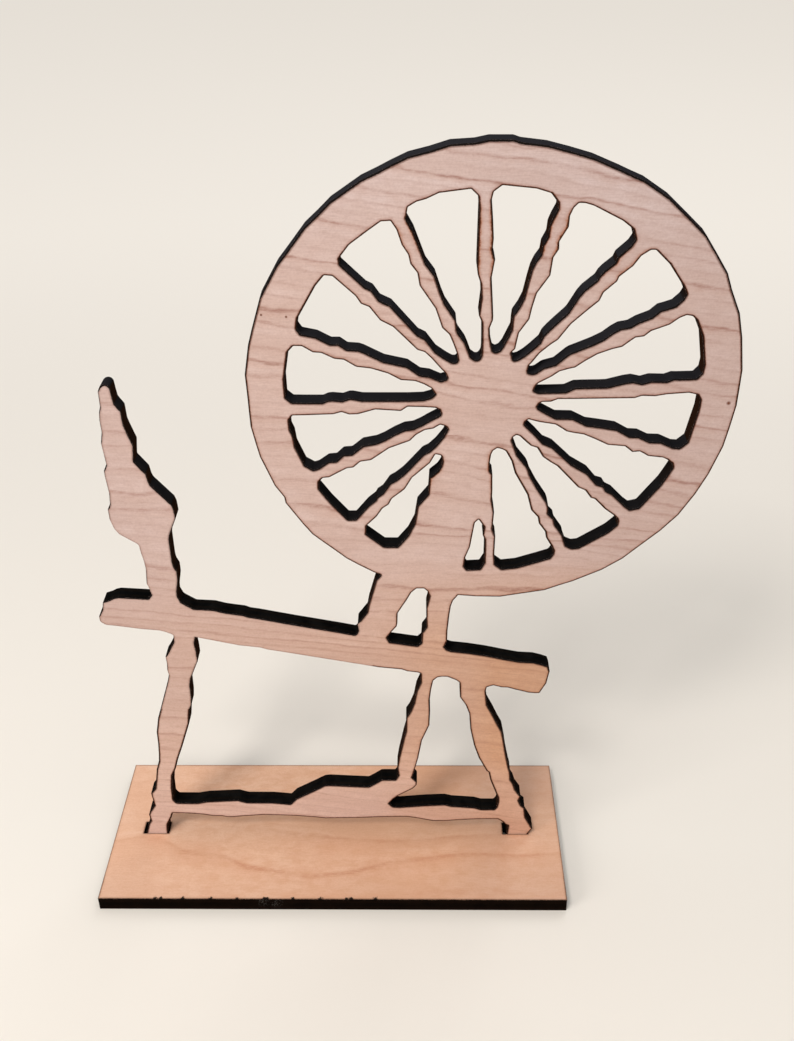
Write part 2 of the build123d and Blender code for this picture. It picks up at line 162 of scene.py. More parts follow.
def divided(loop, step):
    """The outline with its long runs cut into shorter ones."""
    fine = []
    for a, b in zip(loop, np.roll(loop, -1, 0)):
        parts = max(1, math.ceil(np.hypot(*(b - a)) / step))
        fine += [a + (b - a) * k / parts for k in range(parts)]
    return np.array(fine)


def moved_in(loop, distance, least=0.3):
    """The outline moved into the material by a small distance, and not much more at sharp corners."""
    ahead_of = np.roll(loop, -1, 0) - loop
    ahead_of /= np.hypot(ahead_of[:, 0], ahead_of[:, 1])[:, None]
    inward = np.stack([-ahead_of[:, 1], ahead_of[:, 0]], 1)
    previous = np.roll(inward, 1, 0)
    both = inward + previous
    return loop + distance * both / np.maximum(least, (1 + (inward * previous).sum(1)))[:, None]


def to_cut(points, loops, fence=0.01):
    """How far the nearest outline lies from each point, and in which direction.

    The outlines stand as fences across the plane of the points, so that the nearest fence is looked for.
    """
    corners, fences = [], []
    for loop in loops:
        first, count = len(corners), len(loop)
        corners += [(u, v, -fence) for u, v in loop] + [(u, v, fence) for u, v in loop]
        for k in range(count):
            n = (k + 1) % count
            fences.append((first + k, first + n, first + count + n, first + count + k))
    tree = BVHTree.FromPolygons(corners, fences)
    found = [tree.find_nearest((u, v, 0)) for u, v in points]
    away = np.array([hit[3] for hit in found])
    towards = np.array([hit[0][:2] for hit in found]) - points
    return away, towards / np.maximum(away, SAME_POINT)[:, None]


def inside(points, loops, batch=500):
    """Whether each point lies in the material: an odd number of edges to its right."""
    starts = np.concatenate(loops)
    ends = np.concatenate([np.roll(loop, -1, 0) for loop in loops])
    lowest, highest = np.minimum(starts[:, 1], ends[:, 1]), np.maximum(starts[:, 1], ends[:, 1])
    found = np.empty(len(points), bool)
    order = np.argsort(points[:, 1])
    for k in range(0, len(points), batch):
        chosen = order[k:k + batch]
        p = points[chosen]
        near = (lowest <= p[-1, 1]) & (highest >= p[0, 1]) & (lowest < highest)
        a, b = starts[near], ends[near]
        spans = (a[:, 1] > p[:, 1, None]) != (b[:, 1] > p[:, 1, None])
        crossing = a[:, 0] + (p[:, 1, None] - a[:, 1]) / (b[:, 1] - a[:, 1]) * (b[:, 0] - a[:, 0])
        found[chosen] = (spans & (crossing > p[:, 0, None])).sum(1) % 2 == 1
    return found


def face_triangles(loops, rings, grid):
    """A face's points and triangles, finer towards the cut.  The outlines' points come first.

    rings are the rows of points beside the cut: how far in each runs, and how far apart its points are.
    grid is the spacing of the points beyond them, in rows of near-equilateral triangles.
    """
    crowded, row_height = 0.86, 0.87
    edge_points = np.concatenate(loops)
    extra = []
    for distance, step in rings:
        ring = np.concatenate([divided(moved_in(loop, distance), step) for loop in loops])
        kept = inside(ring, loops) & (to_cut(ring, loops)[0] > crowded * distance)
        extra.append(ring[kept])
    low, high = edge_points.min(0), edge_points.max(0)
    columns = np.arange(low[0], high[0], grid)
    levels = np.arange(low[1], high[1], grid * row_height)
    lattice = np.array([(u + (k % 2) * grid / 2, v) for k, v in enumerate(levels) for u in columns])
    lattice = lattice[inside(lattice, loops)]
    lattice = lattice[to_cut(lattice, loops)[0] > rings[-1][0] + grid / 2]
    points = np.concatenate([edge_points] + extra + [lattice])
    outline = []
    for loop in loops:
        first, count = len(outline), len(loop)
        outline += [(first + k, first + (k + 1) % count) for k in range(count)]
    made = delaunay_2d_cdt([Vector(p) for p in points], outline, [], 0, SAME_POINT, True)
    solved = np.array([v[:] for v in made[0]])
    became = {given: k for k, givens in enumerate(made[3]) for given in givens}
    triangles = np.array([f for f in made[2] if len(f) == 3])
    # A sliver beside a straight run can lie just outside: it meets the outline's edge in reverse.
    reversed_edges = [became[b] * len(solved) + became[a] for a, b in outline]
    sides = triangles * len(solved) + np.roll(triangles, -1, 1)
    outside = np.isin(sides, reversed_edges).any(1)
    triangles = triangles[inside(solved[triangles].mean(1), loops) & ~outside]
    return solved, triangles, became


# The material slots of a piece.
VENEER, CHAR = 0, 1


def sheet_piece(name, loops, thickness, place, rings, grid, fields):
    """A sheet cut along the loops: two faces, a fine edge break and the cut walls between them.

    place turns a point of the outline's plane and a depth below the front into a place in the frame.
    fields gives, for each attribute of the veneer, its values on the front and on the back.
    """
    inner = [moved_in(loop, EDGE_BREAK) for loop in loops]
    points, triangles, became = face_triangles(inner, rings, grid)
    from_cut, towards = to_cut(points, loops)
    from_cut /= UNIT
    count = len(points)
    vertices = [place(u, v, 0) for u, v in points] + [place(u, v, thickness) for u, v in points]
    faces = [tuple(t) for t in triangles] + [tuple(t[::-1] + count) for t in triangles]
    kinds = [VENEER] * len(faces)
    values = {"from_cut": list(from_cut) * 2}
    for label, (front, back) in fields(points / UNIT, from_cut, towards).items():
        values[label] = list(front) + list(back)
    first = 0
    for loop in loops:
        ids = [became[first + k] for k in range(len(loop))]
        first += len(loop)
        belts = [ids]
        for depth in (EDGE_BREAK, thickness - EDGE_BREAK):
            belts.append(list(range(len(vertices), len(vertices) + len(loop))))
            vertices += [place(u, v, depth) for u, v in loop]
            for listed in values.values():
                listed += [0.0] * len(loop)
        belts.append([i + count for i in ids])
        for upper, lower, kind in zip(belts, belts[1:], (VENEER, CHAR, VENEER)):
            for k in range(len(loop)):
                n = (k + 1) % len(loop)
                quad = (upper[k], lower[k], lower[n], upper[n])
                if len(set(quad)) == 4:
                    faces.append(quad)
                    kinds.append(kind)
    mesh = bpy.data.meshes.new(name)
    mesh.from_pydata(vertices, [], faces)
    mesh.validate()
    mesh.update()
    mesh.polygons.foreach_set("material_index", kinds)
    mesh.polygons.foreach_set("use_smooth", [True] * len(faces))
    mesh.set_sharp_from_angle(angle=math.radians(15))
    for label, listed in values.items():
        attribute = mesh.attributes.new(label, "FLOAT", "POINT")
        attribute.data.foreach_set("value", listed)
    return placed(name, mesh)


def ramp(values, start, end, least=0.0, most=1.0):
    """From 0 at start to 1 at end, kept between least and most."""
    return np.clip((values - start) / (end - start), least, most)


def grain_level(points, stations, rows):
    """Which growth line passes through each point: rows are (line number, its heights at the stations)."""
    numbers = np.array([number for number, _ in rows], float)
    heights = np.array([np.interp(points[:, 0], stations, row) for _, row in rows])
    above = (heights[1:-1] < points[:, 1]).sum(0)
    each = np.arange(len(points))
    low, high = heights[above, each], heights[above + 1, each]
    share = (points[:, 1] - low) / (high - low)
    return numbers[above] + share * (numbers[above + 1] - numbers[above])


# ---- materials ----
class Wiring:
    """Short names for adding nodes to one material."""

    def __init__(self, name):
        self.material = bpy.data.materials.new(name)
        self.material.use_nodes = True
        self.tree = self.material.node_tree
        self.shader = self.tree.nodes["Principled BSDF"]

    def node(self, kind, inputs=(), **settings):
        made = self.tree.nodes.new(kind)
        for key, value in settings.items():
            setattr(made, key, value)
        for key, value in dict(inputs).items():
            if isinstance(value, bpy.types.NodeSocket):
                self.tree.links.new(value, made.inputs[key])
            elif value is not None:
                made.inputs[key].default_value = value
        return made

    def join(self, value, name):
        self.tree.links.new(value, self.shader.inputs[name])

    def attribute(self, name):
        """A value that the mesh holds at each point."""
        return self.node("ShaderNodeAttribute", attribute_name=name).outputs["Fac"]

    def math(self, kind, a, b=None):
        return self.node("ShaderNodeMath", {0: a, 1: b}, operation=kind).outputs[0]

    def times(self, a, b):
        return self.math("MULTIPLY", a, b)

    def plus(self, a, b):
        return self.math("ADD", a, b)

    def less(self, a, b):
        return self.math("SUBTRACT", a, b)

    def vector(self, kind, a, b=None):
        made = self.node("ShaderNodeVectorMath", {0: a, 1: b}, operation=kind)
        return made.outputs["Value" if kind in ("DISTANCE", "LENGTH") else "Vector"]

    def combine(self, x, y, z):
        return self.node("ShaderNodeCombineXYZ", {0: x, 1: y, 2: z}).outputs[0]

    def noise(self, where, scale, detail, rough=0.5):
        inputs = {"Vector": where, "Scale": scale, "Detail": detail, "Roughness": rough}
        return self.node("ShaderNodeTexNoise", inputs).outputs["Fac"]

    def ease(self, value, low, high, start=0.0, end=1.0):
        """A smooth change from start to end as value goes from low to high."""
        inputs = {"Value": value, "From Min": low, "From Max": high, "To Min": start, "To Max": end}
        return self.node("ShaderNodeMapRange", inputs, interpolation_type="SMOOTHSTEP").outputs[0]

    def mix(self, share, a, b, kind="MIX"):
        """The colour a, with a share of b."""
        made = self.node("ShaderNodeMix", data_type="RGBA", blend_type=kind, clamp_factor=True)
        for socket, value in zip((made.inputs[0], made.inputs[6], made.inputs[7]), (share, a, b)):
            if isinstance(value, bpy.types.NodeSocket):
                self.tree.links.new(value, socket)
            else:
                socket.default_value = value
        return made.outputs[2]

    def place(self):
        """The surface point in units, and its three coordinates."""
        where = self.node("ShaderNodeTexCoord").outputs["Object"]
        where = self.vector("DIVIDE", where, (UNIT, UNIT, UNIT))
        parts = self.node("ShaderNodeSeparateXYZ", {0: where}).outputs
        return where, parts[0], parts[1], parts[2]

    def spots(self, where, centres, radius, soft):
        """1 near any of the centres, falling to 0."""
        total = None
        for centre in centres:
            away = self.vector("DISTANCE", where, centre)
            near = self.ease(away, radius - soft, radius + soft, 1.0, 0.0)
            total = near if total is None else self.math("MAXIMUM", total, near)
        return total

    def relief(self, height, strength, depth):
        """Fine bumps of the surface."""
        inputs = {"Height": height, "Strength": strength, "Distance": depth}
        self.join(self.node("ShaderNodeBump", inputs).outputs[0], "Normal")


def srgb(red, green, blue):
    """A colour as read from a picture, for a shader."""
    parts = [c / 255 for c in (red, green, blue)]
    return tuple(c / 12.92 if c <= 0.04045 else ((c + 0.055) / 1.055) ** 2.4 for c in parts) + (1.0,)


# What the beam does to the veneer, from a thin tan haze to the black crust beside a cut.
HAZE_TAN = srgb(150, 84, 56)
STAIN_TAN = srgb(166, 98, 56)
STAIN_BROWN = srgb(92, 44, 22)
CUT_BROWN = srgb(84, 44, 24)
CUT_BLACK = srgb(42, 20, 10)
CRUST_BLACK = srgb(16, 8, 5)
NICK_BLACK = srgb(30, 20, 15)
PIN_BROWN = srgb(112, 66, 50)
SMALL_PIN_BROWN = srgb(112, 70, 54)
# The tint of the painted shade: wood that lies in cooler, weaker light.
PAINTED_SHADE_TINT = (0.84, 0.88, 0.94, 1)


def growth_line(w, count, grain, line_width):
    """The dark growth line and its blush: sharp on one side, soft on the other, uneven in strength."""
    step = w.math("FLOOR", w.plus(count, 0.5))
    share = w.less(count, step)
    rise = w.math("POWER", w.ease(share, -line_width, 0.0), 1.4)
    line = w.times(rise, w.ease(share, 0.0, line_width * 0.7, 1.0, 0.0))
    lot = w.node("ShaderNodeTexWhiteNoise", {"W": step}, noise_dimensions="1D").outputs["Value"]
    strength = w.times(w.ease(lot, 0.1, 0.9, 0.2, 1.0), w.attribute("figure"))
    strength = w.times(strength, w.ease(grain(0.03, 0.06, 7), 0.36, 0.60, 0.35, 1.0))
    strength = w.times(strength, w.ease(grain(0.30, 1.1, 9, 3, 0.7), 0.32, 0.64, 0.45, 1.1))
    blush = w.times(w.ease(share, -3.2 * line_width, 0.0), strength)
    blush = w.times(blush, w.ease(share, 0.0, line_width, 1.0, 0.0))
    return w.times(line, strength), blush


def faint_lines(w, count, shake, grain):
    """Weaker lines between the growth lines, in patches."""
    share = w.math("FRACT", w.times(w.plus(count, w.times(shake, 0.3)), 2.7))
    line = w.times(w.ease(share, 0.45, 0.9), w.ease(share, 0.9, 1.0, 1.0, 0.0))
    return w.times(line, w.ease(grain(0.02, 0.08, 11), 0.42, 0.66))


def scorched(w, where, colour):
    """The colour with its scorch: a tan haze, warm stains where it ran hot, and a dark line at the cut.

    Also gives how brown the line at the cut is.  The crust attribute widens the line's black part.
    """
    from_cut = w.attribute("from_cut")
    warmth = w.attribute("warmth")
    scorch = w.attribute("scorch")
    crust = w.attribute("crust")
    lick = w.noise(where, 0.55, 3, 0.65)
    tiny = w.noise(where, 2.4, 2, 0.6)
    uneven = w.plus(w.times(lick, 0.34), w.times(tiny, 0.20))
    reach = w.plus(from_cut, w.less(0.20, uneven))
    haze = w.times(w.ease(reach, 0.3, 1.6, 0.36, 0.0), scorch)
    colour = w.mix(haze, colour, HAZE_TAN)
    stain = w.times(warmth, w.ease(lick, 0.3, 0.7, 0.5, 1.5))
    colour = w.mix(w.math("MINIMUM", stain, 0.85), colour, STAIN_TAN)
    colour = w.mix(w.ease(stain, 0.5, 1.1, 0.0, 0.85), colour, STAIN_BROWN)
    heated = w.math("MAXIMUM", scorch, warmth)
    beyond = w.less(reach, crust)
    brown = w.times(w.ease(beyond, 0.18, 0.58, 1.0, 0.0), w.ease(heated, 0.0, 1.0, 0.26, 1.0))
    colour = w.mix(brown, colour, CUT_BROWN)
    black = w.times(w.ease(beyond, -0.10, 0.25, 1.0, 0.0), w.ease(heated, 0.2, 0.9, 0.0, 0.9))
    colour = w.mix(black, colour, CUT_BLACK)
    crusted = w.less(crust, w.less(from_cut, w.times(w.less(tiny, 0.5), 0.5)))
    return w.mix(w.ease(crusted, -0.07, 0.10), colour, CRUST_BLACK), brown


def veneer(name, along, across, seed, tones, line_width, drift, sway, pins=(), nicks=()):
    """A pale veneer face: growth lines, soft bands, fibres, pores, and the scorch beside each cut.

    along and across say which coordinates run with and across the grain, and line_width is in lines.
    tones are the light, middle, growth-line and flush colours, the last a soft tint on one side of each
    line.  drift is the tint that the drift attribute brings in, painted warm
    light mixed with some of the wood's own tone, and sway how far lines wander and shake.
    The level attribute numbers the growth lines, figure is their strength, and shade is painted
    shade, which darkens and cools the wood where the light is weaker.
    """
    w = Wiring(name)
    where, x, y, z = w.place()
    coordinate = {"x": x, "y": y, "z": z}
    u, v = coordinate[along], coordinate[across]

    def grain(along_scale, across_scale, offset, detail=3.0, rough=0.55):
        """Noise stretched along the grain."""
        at = w.combine(w.times(u, along_scale), w.times(v, across_scale), seed + offset)
        return w.noise(at, 1, detail, rough)

    wander = w.less(grain(0.03, 0.09, 3, 3, 0.6), 0.5)
    shake = w.less(grain(0.22, 0.5, 5, 2, 0.6), 0.5)
    shift = w.plus(w.times(wander, sway[0]), w.times(shake, sway[1]))
    count = w.plus(w.attribute("level"), shift)
    line, blush = growth_line(w, count, grain, line_width)
    between = faint_lines(w, count, shake, grain)
    # soft bands, short fibres, pores and mottling
    bands_at = w.combine(w.times(u, 0.012), w.times(count, 0.7), seed + 13)
    bands = w.ease(w.noise(bands_at, 1, 2.5), 0.3, 0.7)
    fibre = grain(0.16, 2.6, 17, 4, 0.66)
    pore = w.ease(grain(0.7, 5.0, 19, 2, 0.5), 0.64, 0.76)
    mottle = grain(0.13, 0.20, 23, 4, 0.62)
    grit = w.noise(where, 1.3, 3, 0.7)
    light, middle, dark, flush = tones
    colour = w.mix(bands, middle, light)
    colour = w.mix(w.ease(mottle, 0.36, 0.68, 0.0, 0.8), colour, middle)
    colour = w.mix(w.times(blush, 0.45), colour, flush)
    # painted warm light, mixed with some of the wood's own tone
    colour = w.mix(w.attribute("drift"), colour, drift, "MULTIPLY")
    # painted shade: darker, cooler wood where the light is weaker
    colour = w.mix(w.attribute("shade"), colour, PAINTED_SHADE_TINT, "MULTIPLY")
    darkening = (w.ease(grit, 0.34, 0.72, 0.0, 0.14), w.times(w.ease(fibre, 0.42, 0.72), 0.17),
                 w.times(pore, 0.15), w.times(between, 0.08), w.times(line, 0.46))
    for share in darkening:
        colour = w.mix(share, colour, dark)
    colour, brown = scorched(w, where, colour)
    if pins:
        colour = w.mix(w.spots(where, pins[:1], 0.7, 0.5), colour, PIN_BROWN)
        colour = w.mix(w.spots(where, pins[1:], 0.42, 0.25), colour, SMALL_PIN_BROWN)
    if nicks:
        ragged = 2.4
        shaken = w.node("ShaderNodeTexNoise", {"Vector": where, "Scale": 1.1}).outputs["Color"]
        shaken = w.vector("ADD", where, w.vector("MULTIPLY", shaken, (ragged,) * 3))
        centres = [[c + ragged / 2 for c in centre] for centre in nicks]
        colour = w.mix(w.spots(shaken, centres, 1.05, 0.35), colour, NICK_BLACK)
    w.join(colour, "Base Color")
    # surface: bare sanded wood, a little rougher in the lines, matt where scorched
    rough = w.plus(0.58, w.times(line, 0.10))
    rough = w.plus(rough, w.times(w.ease(fibre, 0.3, 0.7), 0.06))
    rough = w.plus(rough, w.times(brown, 0.14))
    w.join(rough, "Roughness")
    w.shader.inputs["Specular IOR Level"].default_value = 0.10
    height = w.less(w.times(fibre, 0.5), w.times(pore, 0.35))
    height = w.less(height, w.times(line, 0.25))
    height = w.less(height, w.times(brown, 0.4))
    w.relief(height, 0.35, 0.00006)
    return w.material


# Fine ash on char, and the painted sheen of sky light on the char of the highest up-facing walls.
ASH_GREY = srgb(150, 146, 140)
PAINTED_SKY_SHEEN_GREY = srgb(50, 49, 53)


def charred(name, through, face_low, thickness, seed, tones, shine, ash=(), upright=None):
    """A laser-cut wall: near-black char over the plies, with fine marks running through the sheet.

    through is the coordinate that runs through the sheet, from face_low on.  tones are the char's darkest
    and usual colours, its brown on the cross plies, and its pale streaks.  ash says where ash lies, and
    upright is the browner colour of walls that don't face up.
    """
    w = Wiring(name)
    where, x, y, z = w.place()
    depth = w.less({"x": x, "y": y, "z": z}[through], face_low)
    stretch = tuple(0.35 if axis == through else 3.2 for axis in "xyz")
    streaks_at = w.vector("ADD", w.vector("MULTIPLY", where, stretch), (seed, seed, seed))
    streaks = w.noise(streaks_at, 1.0, 3, 0.6)
    broad = w.noise(w.vector("ADD", where, (seed, 0, seed)), 0.12, 3, 0.6)
    crumbs = w.noise(where, 3.6, 3, 0.7)
    # five plies: the second and the fourth run crosswise and burn browner
    ply = thickness / 5.6
    cross = None
    for middle in (1.3 * ply, 4.3 * ply):
        away = w.math("ABSOLUTE", w.less(depth, middle))
        band = w.ease(away, 0.42 * ply, 0.62 * ply, 1.0, 0.0)
        cross = band if cross is None else w.math("MAXIMUM", cross, band)
    darkest, usual, brown, pale = tones
    colour = w.mix(w.ease(broad, 0.35, 0.68), darkest, usual)
    browner = w.times(cross, w.ease(streaks, 0.3, 0.75, 0.2, 1.0))
    colour = w.mix(w.times(browner, 0.55), colour, brown)
    colour = w.mix(w.ease(streaks, 0.56, 0.78, 0.0, 0.35), colour, pale)
    colour = w.mix(w.ease(crumbs, 0.30, 0.45, 0.5, 0.0), colour, darkest)
    normal = w.node("ShaderNodeNewGeometry").outputs["Normal"]
    upward = w.node("ShaderNodeSeparateXYZ", {0: normal}).outputs[2]
    # painted sheen: the highest up-facing walls are greyed as if they reflected the sky
    painted_sheen = w.times(w.ease(z, 130, 330), w.ease(upward, 0.2, 0.7, 0.0, 0.7))
    colour = w.mix(painted_sheen, colour, PAINTED_SKY_SHEEN_GREY)
    if upright:
        colour = w.mix(w.ease(upward, 0.1, 0.6, 0.75, 0.0), colour, upright)
    if ash:
        dust = w.node("ShaderNodeTexVoronoi", {"Vector": where, "Scale": 1.7}).outputs["Distance"]
        dust = w.ease(dust, 0.16, 0.3, 1.0, 0.0)
        near = w.spots(where, ash, 2.6, 1.6)
        colour = w.mix(w.times(dust, w.times(near, 0.55)), colour, ASH_GREY)
    w.join(colour, "Base Color")
    w.join(w.ease(streaks, 0.3, 0.7, 0.5, 0.7), "Roughness")
    w.shader.inputs["Specular IOR Level"].default_value = shine
    w.relief(w.plus(w.times(streaks, 0.8), w.times(crumbs, 0.25)), 0.5, 0.00012)
    return w.material


# How far inside the cut each ring of points runs, and how far apart its points are.
ring_units = ((0.22, 0.9), (0.5, 0.9), (0.95, 0.9), (1.4, 1.5), (2.2, 2.4))
edge_rings = [(inset * UNIT, spacing * UNIT) for inset, spacing in ring_units]

# ---- wheel_panel ----
panel_low, panel_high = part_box("wheel_panel")
panel_thickness = panel_high[1] - panel_low[1]
panel_loops = [softened(without_straights(loop), 0.32 * UNIT)
               for loop in cut_loops("wheel_panel", 1, -1, (0, 2))]
panel_loops = [divided(loop, 1.6 * UNIT) for loop in panel_loops]

# The wheel's centre, how far its windows reach from there, and a radius that clears its rim.
HUB_X, HUB_Z = 68, 240
WINDOWS_REACH = 86
CLEAR_OF_RIM = 115

# The course of the growth lines on the front: a line's number, and its height at each station.
panel_stations = (-100, -50, 0, 50, 100, 160)
panel_lines = [
    (0, (8, 2, -6, -14, -20, -28)),
    (3, (20, 16, 8, 0, -8, -16)),
    (8, (38, 33, 25, 16, 8, -2)),
    (14, (60, 56, 50, 42, 33, 24)),
    (20, (90, 86, 81, 76, 70, 62)),
    (26, (120, 116, 112, 107, 100, 92)),
    (32, (146, 140, 133, 126, 119, 111)),
    (35, (160, 153, 146, 142, 138, 132)),
    (38, (176, 170, 163, 163, 162, 156)),
    (41, (190, 186, 181, 178, 176, 166)),
    (43, (204, 203, 196, 186, 183, 176)),
    (45, (214, 213, 209, 202, 190, 180)),
    (48, (232, 229, 225, 218, 206, 192)),
    (53, (262, 258, 254, 247, 237, 226)),
    (58, (290, 286, 280, 272, 262, 250)),
    (63, (318, 313, 306, 297, 288, 277)),
    (68, (344, 338, 330, 321, 312, 300)),
    (74, (372, 366, 358, 349, 341, 328)),
]
# Where the beam lingered on the front: (x, z, spread, strength), lengths in units.
hot_spots = [
    (37.8, 310.8, 2.6, 1.0), (41.0, 305.5, 3.5, 0.4),
    (62.5, 314.0, 4.0, 0.4), (62.8, 306.0, 3.5, 0.75), (63.2, 298.5, 3.5, 0.45),
    (67.3, 311.5, 4.0, 0.85), (67.0, 304.0, 3.0, 0.4), (66.8, 299.5, 2.5, 0.4),
    (89.4, 314.0, 3.2, 0.6), (85.3, 304.6, 1.8, 1.0), (86.8, 308.0, 2.5, 0.5),
    (94.0, 313.0, 3.2, 0.45), (92.3, 309.0, 2.0, 0.5), (90.3, 303.2, 2.2, 0.45),
    (116.1, 303.0, 4.5, 0.35), (112.9, 298.6, 3.0, 0.45), (107.2, 294.1, 4.0, 0.4),
    (47.7, 212.3, 3.0, 0.6), (45.2, 207.7, 3.0, 0.4),
    (65.0, 219.9, 3.0, 0.45), (65.2, 213.1, 4.0, 0.5), (65.8, 205.3, 4.0, 0.4),
]


def panel_fields(points, from_cut, towards):
    """Growth-line number, heat, figure, tints, scorch and crust of the panel's two faces."""
    x, z = points.T
    heat = np.zeros(len(points))
    for spot_x, spot_z, spread, strength in hot_spots:
        away = (x - spot_x) ** 2 + (z - spot_z) ** 2
        heat += strength * np.exp(-away / (2 * spread ** 2))
    heat = np.clip(1.4 * heat, 0, 1) * np.exp(-np.maximum(0, from_cut - 0.6) / 0.6)
    level = grain_level(points, panel_stations, panel_lines)
    behind = (z - 0.06 * x) / 6.3 + 1.2 * np.sin(x / 61) + 200
    # the growth lines are strongest on the wheel and weakest at the feet
    shown = np.where(z > 140, np.interp(x, (-60, -25), (0.9, 1.3)), np.interp(z, (40, 90), (0.5, 0.8)))
    # painted warm light, mixed with some of the wood's own tone: warmest at the bench's right end and the
    # right leg
    shadowed_low_right = ramp(x, 90, 140) * ramp(z, 235, 175)
    under_wheel = ramp(z, 172, 127)
    by_foot = np.maximum(ramp(z, 12, 60), ramp(x, 15, 40, 0, 0.6))
    rightward = np.interp(x, (-100, -30, 20, 48, 62, 80), (0.20, 0.24, 0.34, 0.58, 0.60, 0.85))
    drift = 0.04 + np.interp(z, (285, 325), (0.18, 0)) + 0.12 * shadowed_low_right
    drift = drift + under_wheel * by_foot * rightward
    # painted shade above the feet, strongest at the left and right ends, and more on the rim's shadowed
    # low right
    shade = np.interp(x, (-100, -50, 40, 150), (1.0, 0.65, 0.5, 0.95)) * ramp(z, 45, 95)
    shade += 0.25 * shadowed_low_right
    # the scorch is strongest in the wheel and faint on the distaff; crust lies beside up-facing cuts
    from_hub = np.hypot(x - HUB_X, z - HUB_Z)
    distaff = (x < 20) & (z > 88) & (from_hub > CLEAR_OF_RIM)
    scorch = np.where(from_hub < WINDOWS_REACH, 1.0, np.where(distaff, 0.2, 0.95))
    scorch *= np.interp(towards[:, 1], (-0.1, 0.5), (1.0, 0.45))
    sideways = towards[:, 0] * ramp(x, 40, 0, -1, 1)
    crust = np.interp(towards[:, 1], (-0.2, 0.6), (0.0, 0.60)) + np.where(distaff, 0.04, 0.12)
    crust = np.maximum(crust, np.interp(sideways, (0.2, 0.9), (0.0, 0.36)))
    return {"level": (level, behind), "warmth": (heat, heat * 0), "figure": (shown, shown),
            "drift": (drift, drift), "shade": (shade, shade), "scorch": (scorch, scorch),
            "crust": (crust, crust)}


wheel_panel = sheet_piece(
    "panel_cut_sheet", panel_loops, panel_thickness,
    lambda u, v, w: (u, panel_low[1] + w, v),
    edge_rings, 4.0 * UNIT, panel_fields)

panel_front = panel_low[1] / UNIT
# three pin marks, the first one the largest
panel_pins = [(x, panel_front, z) for x, z in ((159.3, 242.4), (-17.0, 279.4), (-7.8, 278.6))]
panel_tones = (srgb(229, 205, 197), srgb(219, 192, 182), srgb(140, 92, 78), srgb(213, 179, 166))
panel_face = veneer("panel_veneer", "x", "z", 4.0, panel_tones, 0.28, (0.94, 0.69, 0.47, 1), (1.3, 0.12),
                    pins=panel_pins)
panel_char = (srgb(9, 9, 9), srgb(20, 19, 18), srgb(28, 19, 12), srgb(36, 29, 24))
panel_wall = charred("panel_char", "y", panel_front, panel_thickness / UNIT, 11.0, panel_char, 0.0,
                     upright=srgb(44, 26, 16))
wheel_panel.data.materials.append(panel_face)
wheel_panel.data.materials.append(panel_wall)
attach(wheel_panel, "panel")
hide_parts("wheel_panel")

# ---- base_plate ----
base_low, base_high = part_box("base_plate")
base_thickness = base_high[2] - base_low[2]
base_loops = [softened(without_straights(loop), 0.3 * UNIT)
              for loop in cut_loops("base_plate", 2, 1, (0, 1))]
base_loops = [divided(loop, 2.0 * UNIT) for loop in base_loops]

# The base's few broad growth lines, front to back, and how strongly each shows at the stations.
base_stations = (-110, -96, -86, -75, -55, -42, -12, 10, 28, 60, 90, 110)
base_lines = [
    (0, (-75, -75, -75, -78, -80, -84, -86, -86, -84, -80, -76, -75)),
    (1, (-34, -34, -34, -36, -40, -44, -48, -47, -42, -38.5, -39.7, -40.4)),
    (2, (-9, -5, -6, -14.7, -17.6, -24.7, -30.9, -26.9, -21.1, -16.1, -17, -16)),
    (3, (4, 4, 4, 2, 1, 0, -5, -8.3, -8.8, -5.4, -3, -2)),
    (4, (22, 22, 21, 20, 17, 15, 12, 10, 9, 9, 12, 14)),
    (5, (44, 44, 44, 43, 41, 39, 36, 35, 35, 37, 39, 41)),
    (6, (70, 70, 70, 70, 69, 68, 66, 65, 65, 66, 67, 68)),
]
base_figure = [
    (0.1,) * 12,
    (0.1, 0.1, 0.1, 0.1, 0.1, 0.1, 0.1, 0.2, 0.4, 0.8, 0.8, 0.7),
    (0.3, 0.25, 0.4, 0.6, 0.6, 0.85, 0.85, 0.8, 0.65, 0.6, 0.65, 0.5),
    (0.05, 0.05, 0.05, 0.05, 0.05, 0.1, 0.5, 0.6, 0.6, 0.5, 0.1, 0.1),
    (0.15,) * 12,
    (0.15,) * 12,
    (0.15,) * 12,
]


def base_fields(points, from_cut, towards):
    """Growth-line number, heat, figure, tints, scorch and crust of the base's two faces."""
    x, y = points.T
    level = grain_level(points, base_stations, base_lines)
    shown = np.array([np.interp(x, base_stations, row) for row in base_figure])
    nearest = np.clip(np.round(level).astype(int), 0, len(base_figure) - 1)
    figure = shown[nearest, np.arange(len(points))]
    behind = y / 7.0 + 0.9 * np.sin(x / 43) + 100
    # painted warm light, mixed with some of the wood's own tone: warmer from the left end towards the
    # right
    drift = np.interp(x, (-110, -60, 0, 50, 110), (0.0, 0.75, 0.85, 1.0, 0.55))
    none = np.zeros(len(points))
    # painted shade on the front edge and a painted cast shadow on the back right corner, where they lie in
    # weaker light
    shade = np.interp(y, (-40, -15), (0.4, 0.0))
    shade += ramp(x, 55, 75) * ramp(y, 8, 23, 0.35, 0.9)
    crust = np.where(y < -30, 0.2, 0.08)
    return {"level": (level, behind), "warmth": (none, none), "figure": (figure, none + 0.6),
            "drift": (drift, drift), "shade": (shade, none), "scorch": (none + 0.35, none + 0.35),
            "crust": (crust, none)}


base_plate = sheet_piece(
    "base_cut_sheet", base_loops, base_thickness,
    lambda u, v, w: (u, v, base_high[2] - w),
    edge_rings, 2.5 * UNIT, base_fields)

base_tones = (srgb(247, 208, 181), srgb(235, 188, 157), srgb(186, 112, 76), srgb(218, 158, 125))
base_front, base_top = base_low[1] / UNIT, base_high[2] / UNIT
